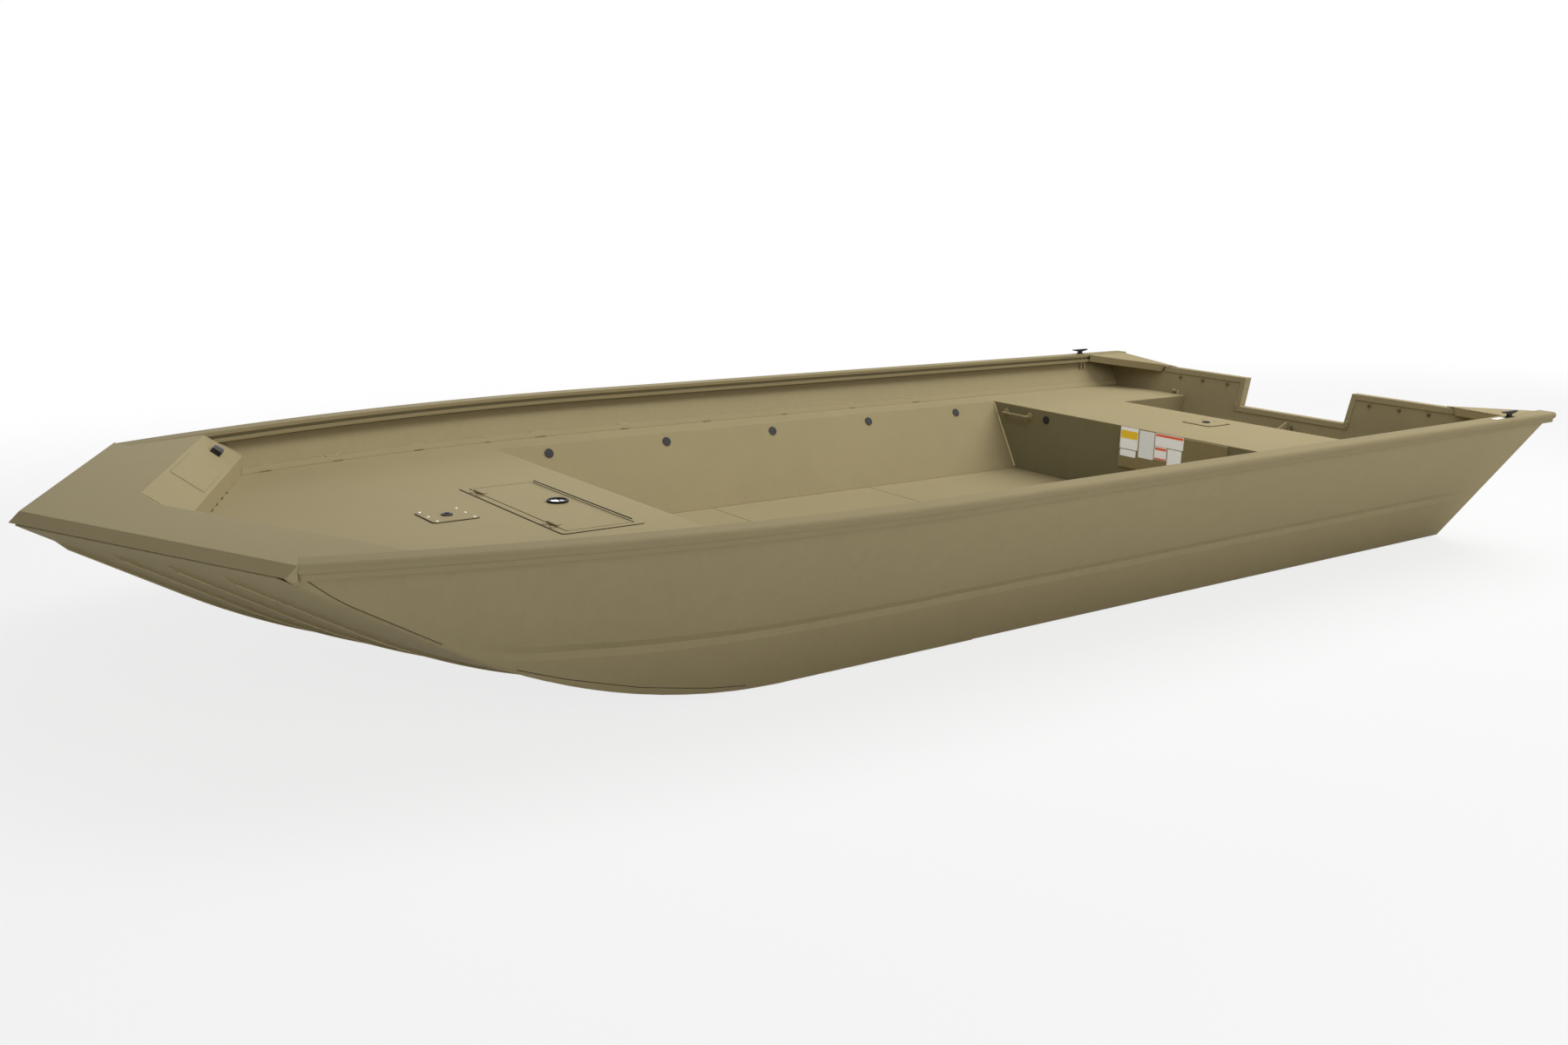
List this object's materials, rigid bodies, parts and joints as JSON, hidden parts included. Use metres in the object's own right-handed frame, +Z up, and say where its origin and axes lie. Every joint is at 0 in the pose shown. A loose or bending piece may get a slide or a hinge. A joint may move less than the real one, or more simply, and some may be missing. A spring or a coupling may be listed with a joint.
{
  "type": "flat-bottomed aluminium jon boat",
  "caption": "Open welded aluminium jon boat with raised front and rear decks, a hinged deck hatch, seat sockets and a notched transom for an outboard motor.",
  "frame": {"origin": "middle of the bounding box at the underside of the strakes, on the surface the boat stands on", "axes": "+X towards the bow, +Y to port, +Z up"},
  "size_m": [6.0809, 2.638, 0.662],
  "materials": {
    "hull_paint": "satin khaki paint over aluminium",
    "deck_paint": "satin khaki paint over aluminium plate",
    "black_plastic": "moulded black plastic",
    "grey_plastic": "moulded grey plastic",
    "chrome_paddle": "polished",
    "brass_fitting": "dull brass"
  },
  "bodies": {
    "hull": {"hull_bottom": "hull_paint", "hull_side_port": "hull_paint", "hull_side_starboard": "hull_paint", "gunwale_port": "hull_paint", "gunwale_starboard": "hull_paint", "bow_cap": "hull_paint", "bow_console": "hull_paint", "front_deck": "deck_paint", "rear_deck": "deck_paint", "side_panel_port": "hull_paint", "side_panel_starboard": "hull_paint", "panel_plugs_port": "black_plastic", "panel_plugs_starboard": "black_plastic", "front_bulkhead": "hull_paint", "rear_bulkhead": "hull_paint", "bulkhead_plug": "black_plastic", "rear_access_panel": "hull_paint", "grab_handle": "hull_paint", "floor_aft": "deck_paint", "floor_middle": "deck_paint", "floor_fore": "deck_paint", "transom": "hull_paint", "transom_cap": "hull_paint", "stern_well": "hull_paint", "transom_knee": "hull_paint", "drain_plug": "brass_fitting", "gusset_port": "hull_paint", "gusset_starboard": "hull_paint", "cleat_port": "black_plastic", "cleat_starboard": "black_plastic", "hatch_frame": "deck_paint", "hatch_bin": "hull_paint", "deck_edge_port": "hull_paint", "deck_edge_starboard": "hull_paint", "seat_plate_front": "deck_paint", "seat_plate_rear": "deck_paint", "seat_socket_front": "black_plastic", "seat_socket_rear": "black_plastic", "access_plate": "hull_paint", "power_socket": "black_plastic", "power_socket_cover": "grey_plastic"},
    "hatch": {"hatch_lid": "deck_paint", "hatch_latch": "black_plastic", "latch_paddle": "chrome_paddle"}
  },
  "joints": [
    {"name": "hatch_hinge", "type": "hinge", "parent": "hull", "child": "hatch", "pos_m": [1.5075, 0.0275, 0.465], "axis": [0, 1, 0], "range_deg": [0, 95]}
  ]
}
